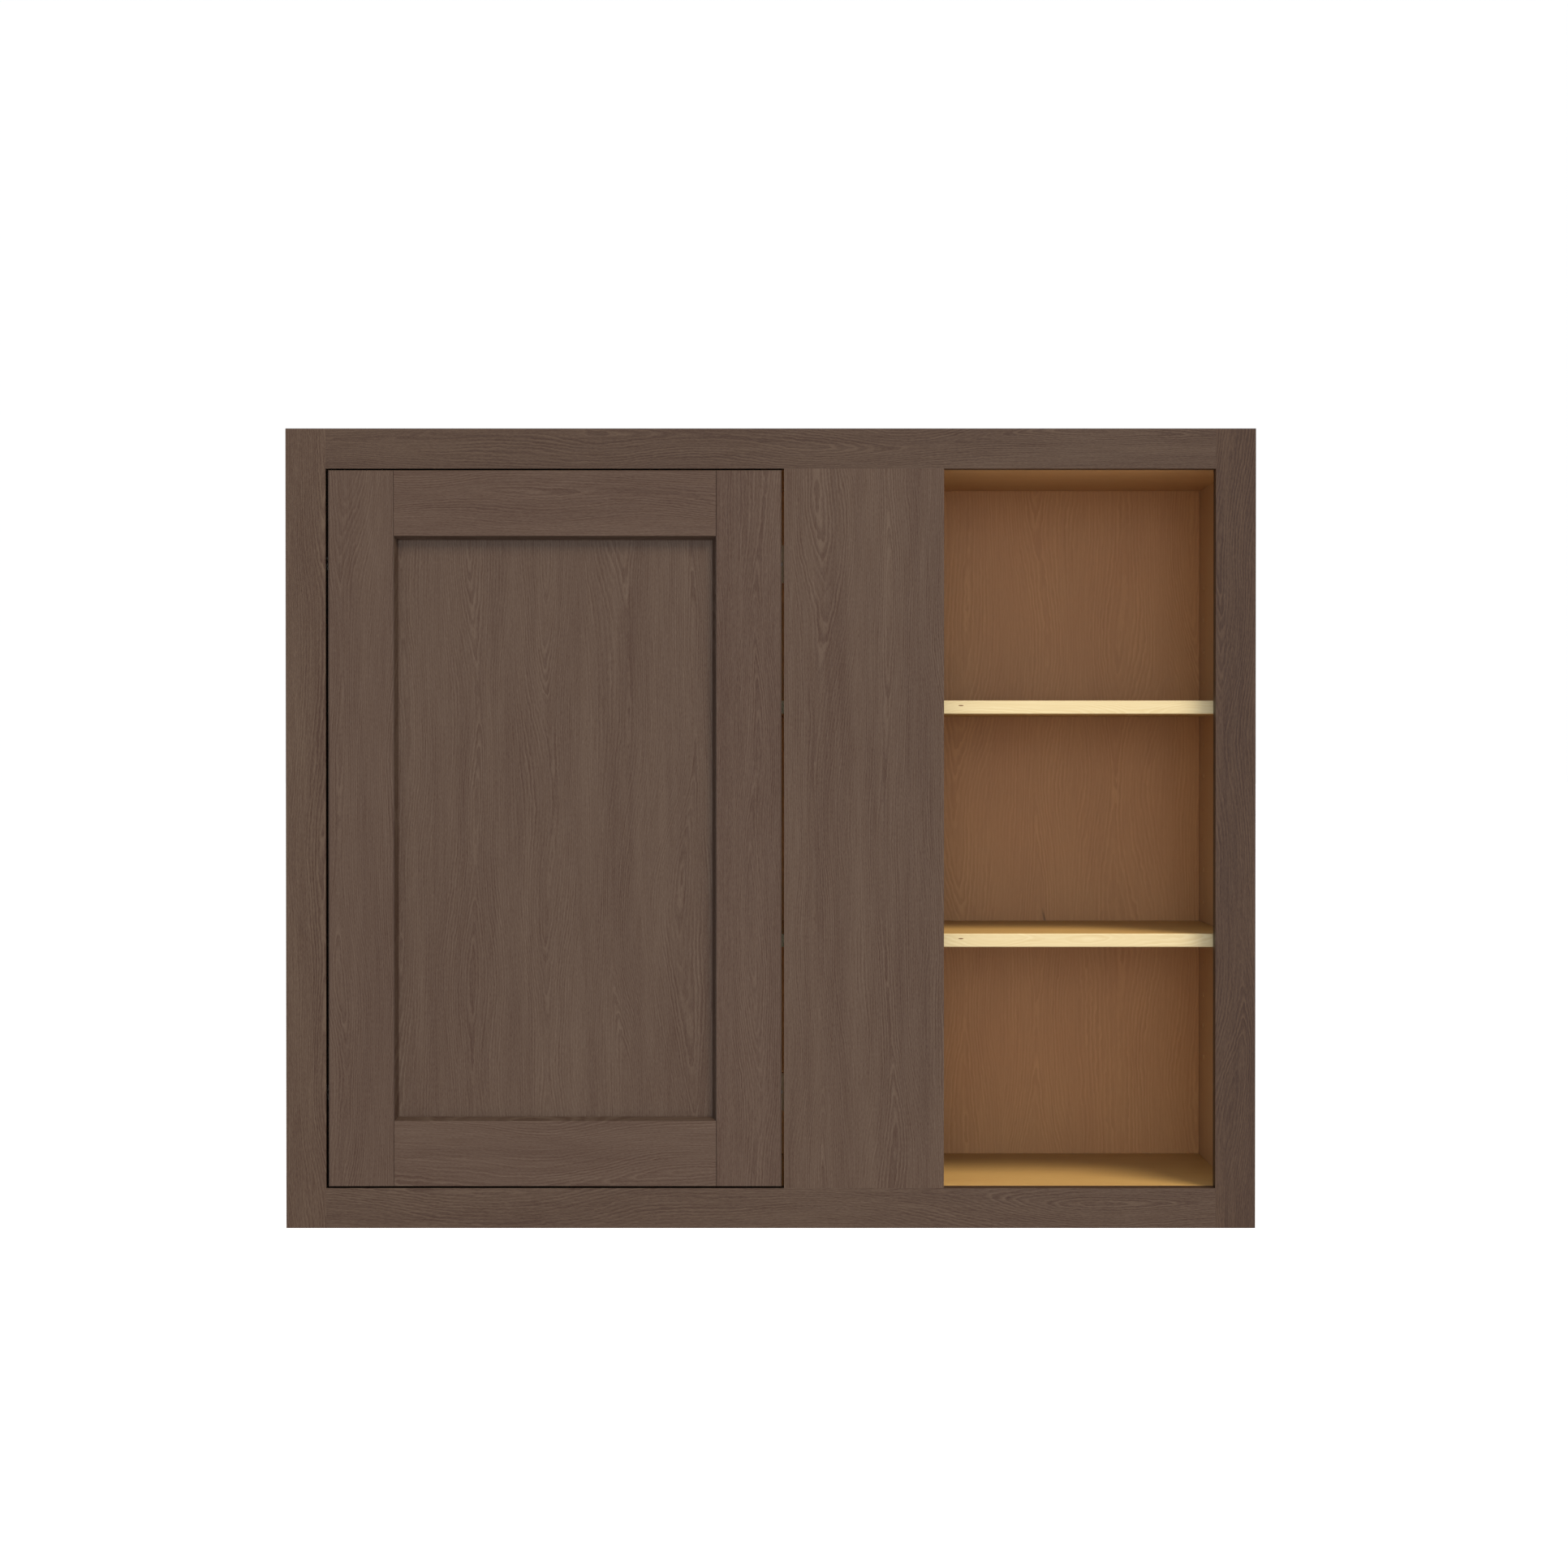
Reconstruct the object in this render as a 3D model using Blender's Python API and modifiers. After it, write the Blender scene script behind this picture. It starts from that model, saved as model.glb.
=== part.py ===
"""Face-frame wall cabinet for a corner: an inset door on the left, a wide blind stile, and an open bay with
two adjustable shelves on the right.

Metres. +X runs to the right seen from the front, +Y towards the wall, +Z up. The origin is the centre of
the rear face, the one that goes against the wall.
"""

import math

import bmesh
import bpy
from mathutils import Matrix

INCH = 0.0254
MM = 0.001

# Cabinet
WIDTH = 36.375 * INCH
HEIGHT = 30 * INCH
DEPTH = 12 * INCH
SIDE_THICKNESS = 0.75 * INCH
BACK_THICKNESS = 0.5 * INCH
DECK_THICKNESS = 0.5 * INCH  # top and bottom panels
HANGING_RAIL_THICKNESS = 0.75 * INCH

# Face frame
FRAME_THICKNESS = 0.75 * INCH
FRAME_WIDTH = 1.5 * INCH  # outer stiles and both rails
BLIND_STILE_WIDTH = 6 * INCH
DOOR_OPENING = 17.1875 * INCH

# Door
DOOR_WIDTH = 17 * INCH
DOOR_HEIGHT = 26.875 * INCH
DOOR_THICKNESS = 0.75 * INCH
MEMBER_FACE = 62.5 * MM  # flat front of a door stile or rail
STICKING_WIDTH = 3.5 * MM  # sloped inner edge, seen from the front
STICKING_DEPTH = 8.2 * MM
STICKING_LAND = 0.4 * MM  # square edge between the slope and the panel
PANEL_THICKNESS = 6 * MM
PANEL_GROOVE_DEPTH = 9.5 * MM
PANEL_FLOAT = 1.5 * MM  # room in the groove for the panel to move
EASED_EDGE = 0.6 * MM

# Shelves and their pins
SHELF_THICKNESS = 0.5 * INCH
SHELF_SETBACK = 27.5 * MM  # behind the cabinet's front, and clear of the turning door's rear corner
SHELF_SIDE_CLEARANCE = 1 * MM
SHELF_BACK_CLEARANCE = 2 * MM
EDGE_BAND_THICKNESS = 3 * MM
LOWER_SHELF_HEIGHT = 266.65 * MM  # underside, above the cabinet's bottom edge
HOLE_PITCH = 32 * MM
SHELF_SPACING = 7 * HOLE_PITCH
HOLES_BELOW, HOLES_ABOVE = 4, 11  # counted from the lower shelf's own holes
HOLE_INSET = 37 * MM  # from the front frame, and from the back panel
HOLE_RADIUS = 2.8 * MM
HOLE_DEPTH = 10 * MM
PIN_RADIUS = 2.5 * MM
PIN_IN_PANEL = 9 * MM
PIN_PROUD = 8 * MM
PIN_NOTCH_CLEARANCE = 0.6 * MM  # round the pin in the shelf's underside
BAND_EASED_EDGE = 0.5 * MM

# Concealed hinges
HINGE_END_DISTANCE = 5 * INCH  # hinge centre to the cabinet's top or bottom edge
HINGE_AXIS_INSET = 14.5 * MM  # from the door's edge
HINGE_AXIS_DEPTH = 8.2 * MM  # behind the door's front
CUP_INSET = 20.5 * MM  # cup centre to the door's edge
CUP_RADIUS = 17.5 * MM
CUP_WALL = 0.8 * MM
CUP_DEPTH = 14 * MM
CUP_RIM_RADIUS = 19.5 * MM
CUP_RIM_THICKNESS = 1 * MM
CUP_EAR_RADIUS = 6.5 * MM
CUP_SCREW_OFFSET = 24.5 * MM  # above and below the hinge centre
CUP_SCREW_LENGTH = 11 * MM
PIVOT_RADIUS = 1.25 * MM
PIVOT_CLEARANCE = 0.08 * MM
BARREL_RADIUS = 2.2 * MM
ARM_THICKNESS = 2 * MM
ARM_HEIGHT = 13 * MM
ARM_EXIT_ANGLE = math.radians(68)  # from straight back, towards the door's free side
ARM_SWING_RADIUS = 20 * MM  # clears the door's rear corner as it turns
ARM_BEND = 2.5 * MM
ARM_WEB_INSET = 5 * MM  # from the stile's inner edge, over the stile
ARM_FOOT_LENGTH = 12 * MM
ARM_SCREW_INSET = 12 * MM
ARM_SCREW_LENGTH = 8 * MM
PLATE_THICKNESS = 2.3 * MM
PLATE_HEIGHT = 48 * MM
PLATE_MARGIN = 1 * MM
PLATE_SCREW_OFFSET = 17 * MM
PLATE_SCREW_LENGTH = 14 * MM

# Screws
SCREW_HEAD_RADIUS = 3.2 * MM
SCREW_HEAD_HEIGHT = 1.8 * MM
SCREW_SHANK_RADIUS = 1.5 * MM
SCREW_TIP = 2.5 * MM
SCREW_CLEARANCE = 0.4 * MM

# Door stops
STOP_END_DISTANCE = 90 * MM  # stop centre to the end of the door opening
STOP_HEIGHT = 36 * MM
STOP_OVERLAP = 14 * MM  # on the back of the blind stile
STOP_REACH = 9 * MM  # into the opening, behind the door
STOP_DEPTH = 11 * MM
BUMPER_RADIUS = 3.2 * MM
BUMPER_THICKNESS = 1.4 * MM

GAP = 0.3 * MM  # between pieces that touch
GLUE_LINE = 0.03 * MM  # between the glued pieces of the face frame and of the door frame
WELD = 0.01 * MM  # points closer than this are one
CUT_MARGIN = 2 * MM  # how far a cutter stands out of what it cuts
FINE_SIDES, ROUND_SIDES, SMALL_SIDES, HOLE_SIDES = 40, 20, 12, 10  # how many sides stand for a circle

# Edges of the cabinet and its openings
LEFT, RIGHT = -WIDTH / 2, WIDTH / 2
BOTTOM, TOP = -HEIGHT / 2, HEIGHT / 2
FRONT, BACK = -DEPTH, 0.0
INSIDE_LEFT, INSIDE_RIGHT = LEFT + SIDE_THICKNESS, RIGHT - SIDE_THICKNESS
INSIDE_FRONT, INSIDE_BACK = FRONT + FRAME_THICKNESS, BACK - BACK_THICKNESS
OPENING_LEFT = LEFT + FRAME_WIDTH
OPENING_RIGHT = OPENING_LEFT + DOOR_OPENING
BAY_LEFT = OPENING_RIGHT + BLIND_STILE_WIDTH
BAY_RIGHT = RIGHT - FRAME_WIDTH
FLOOR, CEILING = BOTTOM + FRAME_WIDTH, TOP - FRAME_WIDTH
DOOR_LEFT = (OPENING_LEFT + OPENING_RIGHT - DOOR_WIDTH) / 2
DOOR_RIGHT = DOOR_LEFT + DOOR_WIDTH
DOOR_BOTTOM, DOOR_TOP = -DOOR_HEIGHT / 2, DOOR_HEIGHT / 2
DOOR_BACK = FRONT + DOOR_THICKNESS
MEMBER_WIDTH = MEMBER_FACE + STICKING_WIDTH
HINGE_X = DOOR_LEFT + HINGE_AXIS_INSET
HINGE_Y = FRONT + HINGE_AXIS_DEPTH
CUP_X = DOOR_LEFT + CUP_INSET

# Finishes: colour, roughness, metallic
STAINED_WOOD = ((0.119, 0.081, 0.060, 1), 0.5, 0.0)
MAPLE = ((0.42, 0.25, 0.11, 1), 0.45, 0.0)
MAPLE_EDGE = ((0.80, 0.64, 0.40, 1), 0.5, 0.0)
STEEL = ((0.62, 0.61, 0.59, 1), 0.3, 1.0)
RUBBER = ((0.55, 0.54, 0.52, 1), 0.6, 0.0)


def new_collection(name):
    collection = bpy.data.collections.new(name)
    bpy.context.scene.collection.children.link(collection)
    return collection


for leftover in list(bpy.data.objects):
    bpy.data.objects.remove(leftover)
parts = new_collection("hanging_wall_cabinet")
cutters = new_collection("cutters")


def finished(name, mesh, finish):
    """A part of the cabinet, with a material of its own."""
    colour, roughness, metallic = finish
    material = bpy.data.materials.new(name)
    material.use_nodes = True
    shader = material.node_tree.nodes["Principled BSDF"]
    shader.inputs["Base Color"].default_value = colour
    shader.inputs["Roughness"].default_value = roughness
    shader.inputs["Metallic"].default_value = metallic
    mesh.materials.append(material)
    part = bpy.data.objects.new(name, mesh)
    parts.objects.link(part)
    return part


def hidden_cutter(name, mesh):
    cutter = bpy.data.objects.new(name, mesh)
    cutter.hide_render = True
    cutter.display_type = "WIRE"
    cutters.objects.link(cutter)
    return cutter


def combine(part, other, operation):
    boolean = part.modifiers.new(f"{operation.lower()}_{other.name}", "BOOLEAN")
    boolean.operation = operation
    boolean.object = other


def cut(part, *others):
    for other in others:
        combine(part, other, "DIFFERENCE")


def mesh_of(name, bm):
    mesh = bpy.data.meshes.new(name)
    bm.to_mesh(mesh)
    bm.free()
    return mesh


def box(name, x, y, z, finish):
    """A board that fills the given ranges along X, Y and Z."""
    bm = bmesh.new()
    bmesh.ops.create_cube(bm, size=1)
    bmesh.ops.scale(bm, vec=[high - low for low, high in (x, y, z)], verts=bm.verts)
    part = finished(name, mesh_of(name, bm), finish)
    part.location = [(low + high) / 2 for low, high in (x, y, z)]
    return part


def cylinder_mesh(name, radius, length, sides):
    """A cylinder about the local Z axis, centred on the origin."""
    bm = bmesh.new()
    bmesh.ops.create_cone(
        bm, cap_ends=True, segments=sides, radius1=radius, radius2=radius, depth=length
    )
    return mesh_of(name, bm)


def extruded_mesh(name, outline, length):
    """A closed outline in the local XY plane, extruded along Z and centred on that plane."""
    curve = bpy.data.curves.new(name, "CURVE")
    curve.dimensions = "2D"
    curve.fill_mode = "BOTH"
    curve.extrude = length / 2
    spline = curve.splines.new("POLY")
    spline.points.add(len(outline) - 1)
    for point, (u, v) in zip(spline.points, outline):
        point.co = (u, v, 0, 1)
    spline.use_cyclic_u = True
    drawn = bpy.data.objects.new(name, curve)
    parts.objects.link(drawn)
    evaluated = drawn.evaluated_get(bpy.context.evaluated_depsgraph_get())
    mesh = bpy.data.meshes.new_from_object(evaluated)
    bpy.data.objects.remove(drawn)
    bm = bmesh.new()
    bm.from_mesh(mesh)
    bmesh.ops.remove_doubles(bm, verts=bm.verts, dist=WELD)
    bmesh.ops.dissolve_limit(
        bm, angle_limit=math.radians(0.1), verts=bm.verts, edges=bm.edges
    )
    bmesh.ops.recalc_face_normals(bm, faces=bm.faces)
    bm.to_mesh(mesh)
    bm.free()
    return mesh


def turned(name, profile, steps, finish):
    """A profile of (radius, height) turned about the local Z axis. It runs down the outer side."""
    mesh = bpy.data.meshes.new(name)
    points = [(radius, 0, height) for radius, height in profile]
    mesh.from_pydata(points, [(i, i + 1) for i in range(len(points) - 1)], [])
    part = finished(name, mesh, finish)
    screw = part.modifiers.new("turn", "SCREW")
    screw.steps = screw.render_steps = steps
    screw.use_merge_vertices = True
    screw.merge_threshold = WELD
    screw.use_smooth_shade = True
    return part


# Case ---------------------------------------------------------------------------------------------


def shelf_hole_cutter(name, x):
    """One cutter for all the blind shelf-pin holes of a side panel, whose inner face is at x."""
    bm = bmesh.new()
    first_row = BOTTOM + LOWER_SHELF_HEIGHT + PIN_RADIUS
    sideways = Matrix.Rotation(math.pi / 2, 4, "Y")
    for y in (INSIDE_FRONT + HOLE_INSET, INSIDE_BACK - HOLE_INSET):
        for row in range(-HOLES_BELOW, HOLES_ABOVE + 1):
            place = Matrix.Translation((x, y, first_row + row * HOLE_PITCH))
            bmesh.ops.create_cone(
                bm, cap_ends=True, segments=HOLE_SIDES, radius1=HOLE_RADIUS, radius2=HOLE_RADIUS,
                depth=2 * HOLE_DEPTH, matrix=place @ sideways,
            )
    return hidden_cutter(name, mesh_of(name, bm))


def make_case():
    depth = (INSIDE_FRONT + GAP, BACK)
    height = (BOTTOM, TOP)
    left = box("left_side_panel", (LEFT, INSIDE_LEFT), depth, height, MAPLE)
    right = box("right_side_panel", (INSIDE_RIGHT, RIGHT), depth, height, MAPLE)
    cut(left, shelf_hole_cutter("left_shelf_holes", INSIDE_LEFT))
    cut(right, shelf_hole_cutter("right_shelf_holes", INSIDE_RIGHT))

    between = (INSIDE_LEFT + GAP, INSIDE_RIGHT - GAP)
    box("back_panel", between, (INSIDE_BACK, BACK), height, MAPLE)
    deck_depth = (INSIDE_FRONT + GAP, INSIDE_BACK - GAP)
    box("top_panel", between, deck_depth, (CEILING, CEILING + DECK_THICKNESS), MAPLE)
    box("bottom_panel", between, deck_depth, (FLOOR - DECK_THICKNESS, FLOOR), MAPLE)
    rail_depth = (INSIDE_BACK - GAP - HANGING_RAIL_THICKNESS, INSIDE_BACK - GAP)
    box("top_hanging_rail", between, rail_depth, (CEILING + DECK_THICKNESS + GAP, TOP), MAPLE)
    box("bottom_hanging_rail", between, rail_depth, (BOTTOM, FLOOR - DECK_THICKNESS - GAP), MAPLE)


def make_face_frame():
    depth = (FRONT, INSIDE_FRONT)
    height = (BOTTOM, TOP)
    box("frame_left_stile", (LEFT, OPENING_LEFT), depth, height, STAINED_WOOD)
    box("frame_right_stile", (BAY_RIGHT, RIGHT), depth, height, STAINED_WOOD)
    between = (OPENING_LEFT + GLUE_LINE, BAY_RIGHT - GLUE_LINE)
    box("frame_top_rail", between, depth, (CEILING, TOP), STAINED_WOOD)
    box("frame_bottom_rail", between, depth, (BOTTOM, FLOOR), STAINED_WOOD)
    blind_height = (FLOOR + GLUE_LINE, CEILING - GLUE_LINE)
    box("frame_blind_stile", (OPENING_RIGHT, BAY_LEFT), depth, blind_height, STAINED_WOOD)


# Shelves ------------------------------------------------------------------------------------------


def ease_front(band):
    """Eases the two long front edges of an edge band."""
    bm = bmesh.new()
    bm.from_mesh(band.data)
    front = min(v.co.y for v in bm.verts)
    long_edges = [
        edge
        for edge in bm.edges
        if all(v.co.y - front < WELD for v in edge.verts) and edge.verts[0].co.x != edge.verts[1].co.x
    ]
    bmesh.ops.bevel(bm, geom=long_edges, offset=BAND_EASED_EDGE, segments=1, affect="EDGES")
    bm.to_mesh(band.data)
    bm.free()


def pin_notch_cutter(name, x, y, bottom):
    """The notch in a shelf's underside, open at the shelf's end, that hides the pin at x, y."""
    half_width = PIN_RADIUS + PIN_NOTCH_CLEARANCE
    top = bottom + 2 * PIN_RADIUS + GAP
    reach = PIN_PROUD + PIN_NOTCH_CLEARANCE
    bm = bmesh.new()
    bmesh.ops.create_cube(bm, size=1)
    bmesh.ops.scale(bm, vec=(2 * reach, 2 * half_width, top - bottom + CUT_MARGIN), verts=bm.verts)
    cutter = hidden_cutter(name, mesh_of(name, bm))
    cutter.location = (x, y, (top + bottom - CUT_MARGIN) / 2)
    return cutter


def make_shelf(name, height):
    """A shelf board with a solid band on its front edge, and the four pins that it lies on."""
    bottom = BOTTOM + height
    z = (bottom, bottom + SHELF_THICKNESS)
    x = (INSIDE_LEFT + SHELF_SIDE_CLEARANCE, INSIDE_RIGHT - SHELF_SIDE_CLEARANCE)
    front = FRONT + SHELF_SETBACK
    board_front = front + EDGE_BAND_THICKNESS + GLUE_LINE
    board = box(name, x, (board_front, INSIDE_BACK - SHELF_BACK_CLEARANCE), z, MAPLE)
    ease_front(box(f"{name}_edge_band", x, (front, front + EDGE_BAND_THICKNESS), z, MAPLE_EDGE))

    for side, wall, outwards in (("left", INSIDE_LEFT, -1), ("right", INSIDE_RIGHT, 1)):
        for place, y in (("front", INSIDE_FRONT + HOLE_INSET), ("rear", INSIDE_BACK - HOLE_INSET)):
            pin = turned(f"{name}_pin_{side}_{place}", pin_profile(), SMALL_SIDES, STEEL)
            pin.location = (wall, y, bottom + PIN_RADIUS)
            pin.rotation_euler = (0, outwards * math.pi / 2, 0)
            cut(board, pin_notch_cutter(f"{name}_notch_{side}_{place}", wall, y, bottom))


def pin_profile():
    """A straight pin with both ends eased: its upper half goes into the panel."""
    ease = PIN_RADIUS / 4
    return [
        (0, PIN_IN_PANEL),
        (PIN_RADIUS - ease, PIN_IN_PANEL),
        (PIN_RADIUS, PIN_IN_PANEL - ease),
        (PIN_RADIUS, ease - PIN_PROUD),
        (PIN_RADIUS - ease, -PIN_PROUD),
        (0, -PIN_PROUD),
    ]


# Door ---------------------------------------------------------------------------------------------


def inner_edge(allowance=0.0):
    """Inner edge of a door stile's or rail's section, as (distance from the outer edge, depth).

    It slopes down from the front, then a narrow land, then the groove for the panel. An allowance grows
    the section.
    """
    inner = MEMBER_WIDTH + allowance
    groove_bottom = inner - PANEL_GROOVE_DEPTH
    groove_back = STICKING_DEPTH + PANEL_THICKNESS + 2 * GAP
    return [
        (MEMBER_FACE + allowance, 0),
        (inner, STICKING_DEPTH - STICKING_LAND),
        (inner, STICKING_DEPTH + allowance),
        (groove_bottom, STICKING_DEPTH + allowance),
        (groove_bottom, groove_back - allowance),
        (inner, groove_back - allowance),
    ]


def member_mesh(name, length):
    """A door stile or rail along local Z: its outer edge is at x = 0 and its front at y = 0."""
    back = [(MEMBER_WIDTH, DOOR_THICKNESS), (0, DOOR_THICKNESS)]
    eased = [(0, EASED_EDGE), (EASED_EDGE, 0)]
    return extruded_mesh(name, inner_edge() + back + eased, length)


def door_member(name, turn, length, middle):
    """A stile or a rail, turned about Y until its inner edge faces the door's middle."""
    member = finished(name, member_mesh(name, length), STAINED_WOOD)
    member.rotation_euler = (0, turn, 0)
    member.location = middle
    return member


def ease_ends(member, length):
    """Eases the front edge at both ends of a door stile."""
    bm = bmesh.new()
    bm.from_mesh(member.data)
    ends = [
        edge
        for edge in bm.edges
        if all(abs(v.co.y) < WELD and abs(abs(v.co.z) - length / 2) < WELD for v in edge.verts)
    ]
    bmesh.ops.bevel(bm, geom=ends, offset=EASED_EDGE, segments=1, affect="EDGES")
    bm.to_mesh(member.data)
    bm.free()


def coping_cutter(name, turn, middle):
    """The space that a stile needs in a rail's end, which leaves the tongue that fits the stile's groove."""
    before, behind = -CUT_MARGIN, DOOR_THICKNESS + CUT_MARGIN
    inner = MEMBER_WIDTH + GLUE_LINE
    outline = [(-CUT_MARGIN, before), (MEMBER_FACE + GLUE_LINE, before)] + inner_edge(GLUE_LINE)
    outline += [(inner, behind), (-CUT_MARGIN, behind)]
    cutter = hidden_cutter(name, extruded_mesh(name, outline, DOOR_HEIGHT + 2 * CUT_MARGIN))
    cutter.rotation_euler = (0, turn, 0)
    cutter.location = middle
    return cutter


def make_door():
    left_middle, right_middle = (DOOR_LEFT, FRONT, 0), (DOOR_RIGHT, FRONT, 0)
    left = door_member("door_left_stile", 0, DOOR_HEIGHT, left_middle)
    right = door_member("door_right_stile", math.pi, DOOR_HEIGHT, right_middle)
    for stile in (left, right):
        ease_ends(stile, DOOR_HEIGHT)

    tongue = PANEL_GROOVE_DEPTH - PANEL_FLOAT
    rail_length = DOOR_WIDTH - 2 * (MEMBER_WIDTH - tongue)
    middle_x = (DOOR_LEFT + DOOR_RIGHT) / 2
    top = door_member("door_top_rail", math.pi / 2, rail_length, (middle_x, FRONT, DOOR_TOP))
    bottom = door_member("door_bottom_rail", -math.pi / 2, rail_length, (middle_x, FRONT, DOOR_BOTTOM))
    left_coping = coping_cutter("left_coping", 0, left_middle)
    right_coping = coping_cutter("right_coping", math.pi, right_middle)
    for rail in (top, bottom):
        cut(rail, left_coping, right_coping)

    inset = MEMBER_WIDTH - tongue
    panel_front = FRONT + STICKING_DEPTH + GAP
    box(
        "door_panel",
        (DOOR_LEFT + inset, DOOR_RIGHT - inset),
        (panel_front, panel_front + PANEL_THICKNESS),
        (DOOR_BOTTOM + inset, DOOR_TOP - inset),
        STAINED_WOOD,
    )
    return left


# Hinges -------------------------------------------------------------------------------------------


def across_cutter(name, x, y, z, radius, length, sides):
    """A cylinder along Y, centred on the point."""
    cutter = hidden_cutter(name, cylinder_mesh(name, radius, length, sides))
    cutter.rotation_euler = (math.pi / 2, 0, 0)
    cutter.location = (x, y, z)
    return cutter


def driven_screw(name, x, seat_y, z, length, *drilled):
    """A pan-head screw driven forwards from seat_y, and its hole through each of the drilled parts."""
    head, shank = SCREW_HEAD_RADIUS, SCREW_SHANK_RADIUS
    profile = [
        (0, SCREW_HEAD_HEIGHT),
        (0.6 * head, SCREW_HEAD_HEIGHT),
        (head, 0.5 * SCREW_HEAD_HEIGHT),
        (head, GAP),
        (shank, GAP),
        (shank, SCREW_TIP - length),
        (0, -length),
    ]
    screw = turned(name, profile, SMALL_SIDES, STEEL)
    screw.rotation_euler = (-math.pi / 2, 0, 0)
    screw.location = (x, seat_y, z)
    drilling = shank + SCREW_CLEARANCE
    hole = across_cutter(f"{name}_hole", x, seat_y, z, drilling, 2 * (length + GAP), SMALL_SIDES)
    for part in drilled:
        cut(part, hole)


def arc(centre, radius, start, end, steps):
    """Points on an arc, with angles measured from +Y towards +X."""
    angles = [start + (end - start) * i / steps for i in range(steps + 1)]
    return [(centre[0] + radius * math.sin(a), centre[1] + radius * math.cos(a)) for a in angles]


def arm_route(plate_back):
    """Plan of the hinge arm's middle line, from the pivot barrel, round the door's rear corner, to its foot."""
    along = (math.sin(ARM_EXIT_ANGLE), math.cos(ARM_EXIT_ANGLE))
    start = BARREL_RADIUS - ARM_THICKNESS / 3
    reach = math.sqrt((ARM_SWING_RADIUS - ARM_BEND) ** 2 - ARM_BEND**2)
    lean = math.atan2(ARM_BEND, reach)
    bend = (reach * along[0] - ARM_BEND * along[1], reach * along[1] + ARM_BEND * along[0])
    route = [(start * along[0], start * along[1])]
    route += arc(bend, ARM_BEND, ARM_EXIT_ANGLE + math.pi / 2, ARM_EXIT_ANGLE - lean, 5)
    route += arc((0, 0), ARM_SWING_RADIUS, ARM_EXIT_ANGLE - lean, 0, 7)[1:]

    web_x = OPENING_LEFT - ARM_WEB_INSET - HINGE_X
    foot_y = plate_back + GAP + ARM_THICKNESS / 2 - HINGE_Y
    turn_centre = (web_x + ARM_BEND, ARM_SWING_RADIUS - ARM_BEND)
    route += arc(turn_centre, ARM_BEND, 0, -math.pi / 2, 4)
    route += arc((web_x - ARM_BEND, foot_y + ARM_BEND), ARM_BEND, math.pi / 2, math.pi, 4)
    route.append((web_x - ARM_FOOT_LENGTH, foot_y))
    return route


def hinge_arm(name, z, plate_back):
    bm = bmesh.new()
    route = arm_route(plate_back)
    low = [bm.verts.new((x, y, -ARM_HEIGHT / 2)) for x, y in route]
    strip = [bm.edges.new(pair) for pair in zip(low, low[1:])]
    raised = bmesh.ops.extrude_edge_only(bm, edges=strip)["geom"]
    top = [item for item in raised if isinstance(item, bmesh.types.BMVert)]
    bmesh.ops.translate(bm, verts=top, vec=(0, 0, ARM_HEIGHT))
    arm = finished(name, mesh_of(name, bm), STEEL)
    arm.location = (HINGE_X, HINGE_Y, z)
    thicken = arm.modifiers.new("sheet", "SOLIDIFY")
    thicken.thickness = ARM_THICKNESS
    thicken.offset = 0
    thicken.use_even_offset = True

    rolled_eye = (("barrel", BARREL_RADIUS, ARM_HEIGHT, "UNION"),
                  ("bore", PIVOT_RADIUS + PIVOT_CLEARANCE, 2 * ARM_HEIGHT, "DIFFERENCE"))
    for place, radius, length, operation in rolled_eye:
        tool_name = f"{name}_{place}"
        tool = hidden_cutter(tool_name, cylinder_mesh(tool_name, radius, length, ROUND_SIDES))
        tool.location = arm.location
        combine(arm, tool, operation)
    return arm


def hinge_cup(name, z):
    """A round cup with a thin rim and two ears, open to the back of the door."""
    rim = DOOR_BACK + GAP
    mouth = GAP + CUP_RIM_THICKNESS
    floor = -CUP_DEPTH
    profile = [
        (0, floor + CUP_WALL),
        (CUP_RADIUS - CUP_WALL, floor + CUP_WALL),
        (CUP_RADIUS - CUP_WALL, mouth),
        (CUP_RIM_RADIUS, mouth),
        (CUP_RIM_RADIUS, GAP),
        (CUP_RADIUS, GAP),
        (CUP_RADIUS, floor),
        (0, floor),
    ]
    cup = turned(name, profile, FINE_SIDES, STEEL)
    cup.rotation_euler = (-math.pi / 2, 0, 0)
    cup.location = (CUP_X, DOOR_BACK, z)

    quarter = math.pi / 2
    ears = arc((0, CUP_SCREW_OFFSET), CUP_EAR_RADIUS, -quarter, quarter, 8)
    ears += arc((0, -CUP_SCREW_OFFSET), CUP_EAR_RADIUS, quarter, 3 * quarter, 8)
    ear_plate = hidden_cutter(f"{name}_ears", extruded_mesh(f"{name}_ears", ears, CUP_RIM_THICKNESS))
    ear_plate.rotation_euler = (math.pi / 2, 0, 0)
    ear_plate.location = (CUP_X, rim + CUP_RIM_THICKNESS / 2, z)
    mouth_radius = CUP_RADIUS - CUP_WALL / 2
    mouth_length = 4 * CUP_RIM_THICKNESS
    mouth_cutter = across_cutter(f"{name}_mouth", CUP_X, rim, z, mouth_radius, mouth_length, FINE_SIDES)
    combine(cup, ear_plate, "UNION")
    cut(cup, mouth_cutter)
    return cup


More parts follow.
